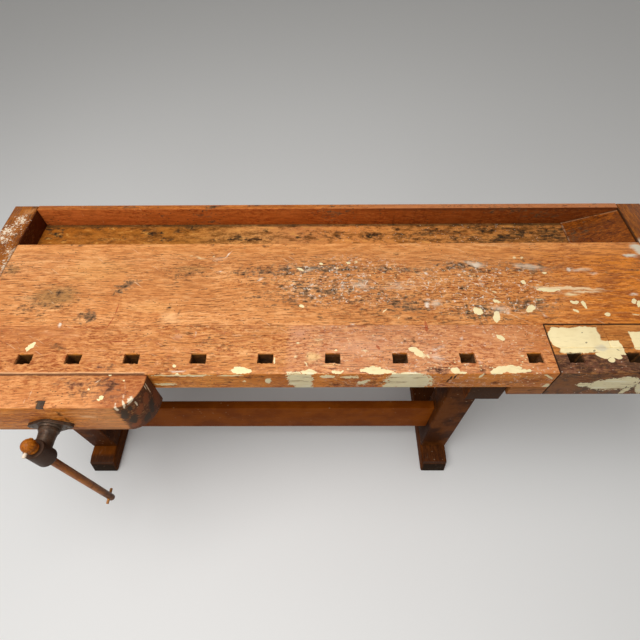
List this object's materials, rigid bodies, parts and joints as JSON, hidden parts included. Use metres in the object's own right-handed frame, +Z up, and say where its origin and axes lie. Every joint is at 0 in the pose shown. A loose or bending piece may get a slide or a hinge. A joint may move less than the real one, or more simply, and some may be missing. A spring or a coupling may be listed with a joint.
{
  "type": "carpenters workbench",
  "caption": "Wooden carpenter's workbench with a dog-hole rail, a tool tray, a front vise, an L-shaped tail vise and a trestle base with stretchers.",
  "frame": {"origin": "on the floor, under the middle of the whole bench's box, vises and handles included", "axes": "+X along the bench from the front vise's end to the tail vise's end, +Y from the front edge to the tool tray, +Z up"},
  "size_m": [2.1088, 0.7775, 0.785],
  "materials": {
    "top_wood": "worn orange-brown beech with dark stains and old varnish",
    "tray_wood": "stained dark wood, rubbed orange where tools slide",
    "base_wood": "dark red-brown stained wood, worn at the arrises",
    "vise_wood": "worn orange-brown beech with scratches and old paint",
    "handle_wood": "turned wood polished by hands",
    "iron": "dark grey-brown iron with a dull sheen",
    "bolt_steel": "dull darkened steel"
  },
  "bodies": {
    "bench": {"top_slab": "top_wood", "dog_hole_rail": "top_wood", "tail_cheek_block": "top_wood", "left_end_cap": "top_wood", "right_end_cap": "top_wood", "tray_floor": "tray_wood", "tray_back_rail": "top_wood", "tray_ramp": "tray_wood", "left_foot": "base_wood", "right_foot": "base_wood", "left_front_leg": "base_wood", "left_rear_leg": "base_wood", "right_front_leg": "base_wood", "right_rear_leg": "base_wood", "left_bearer": "base_wood", "right_bearer": "base_wood", "front_stretcher": "base_wood", "rear_stretcher": "base_wood", "left_locating_pin": "base_wood", "right_locating_pin": "base_wood", "left_cap_front_bolt": "bolt_steel", "left_cap_rear_bolt": "bolt_steel", "right_cap_front_bolt": "bolt_steel", "right_cap_rear_bolt": "bolt_steel", "left_cap_front_nut": "bolt_steel", "left_cap_rear_nut": "bolt_steel", "right_cap_front_nut": "bolt_steel", "right_cap_rear_nut": "bolt_steel", "left_front_stretcher_bolt": "bolt_steel", "left_rear_stretcher_bolt": "bolt_steel", "right_front_stretcher_bolt": "bolt_steel", "right_rear_stretcher_bolt": "bolt_steel", "left_front_stretcher_nut": "bolt_steel", "left_rear_stretcher_nut": "bolt_steel", "right_front_stretcher_nut": "bolt_steel", "right_rear_stretcher_nut": "bolt_steel", "front_vise_cheek_block": "vise_wood", "front_vise_guide_beam": "vise_wood", "front_vise_nut": "iron", "tail_vise_guide_rail": "vise_wood", "tail_vise_nut": "iron"},
    "front_jaw": {"front_vise_jaw": "vise_wood", "front_vise_left_guide_rod": "iron", "front_vise_right_guide_rod": "iron", "front_vise_flange": "iron", "front_vise_garter": "iron"},
    "front_screw": {"front_vise_screw": "iron"},
    "front_handle": {"front_vise_handle": "handle_wood", "front_vise_handle_upper_pin": "handle_wood", "front_vise_handle_lower_pin": "handle_wood"},
    "tail_vise": {"tail_vise_front_rail": "vise_wood", "tail_vise_jaw_block": "vise_wood", "tail_vise_cover_board": "vise_wood", "tail_vise_end_block": "vise_wood", "tail_vise_flange": "iron", "tail_vise_garter": "iron"},
    "tail_screw": {"tail_vise_screw": "iron"},
    "tail_handle": {"tail_vise_handle": "handle_wood", "tail_vise_handle_upper_pin": "handle_wood", "tail_vise_handle_lower_pin": "handle_wood"}
  },
  "joints": [
    {"name": "front_jaw_slide", "type": "slide", "parent": "bench", "child": "front_jaw", "axis": [0, -1, 0], "range_m": [0, 0.1701]},
    {"name": "front_screw_turn", "type": "hinge", "parent": "front_jaw", "child": "front_screw", "pos_m": [-0.74235, -0.29005, 0.695], "axis": [0, -1, 0], "range_deg": [0, 10200]},
    {"name": "front_handle_slide", "type": "slide", "parent": "front_screw", "child": "front_handle", "axis": [0, 0, 1], "range_m": [0, 0.358]},
    {"name": "tail_vise_slide", "type": "slide", "parent": "bench", "child": "tail_vise", "axis": [1, 0, 0], "range_m": [0, 0.1601]},
    {"name": "tail_screw_turn", "type": "hinge", "parent": "tail_vise", "child": "tail_screw", "pos_m": [0.95565, -0.10225, 0.712], "axis": [1, 0, 0], "range_deg": [0, 9600]},
    {"name": "tail_handle_slide", "type": "slide", "parent": "tail_screw", "child": "tail_handle", "axis": [0, 0, 1], "range_m": [0, 0.358]}
  ],
  "couplings": [
    {"joint": "front_jaw_slide", "follows": "front_screw_turn", "m_per_rad": 0.00095493},
    {"joint": "tail_vise_slide", "follows": "tail_screw_turn", "m_per_rad": 0.00095493}
  ]
}
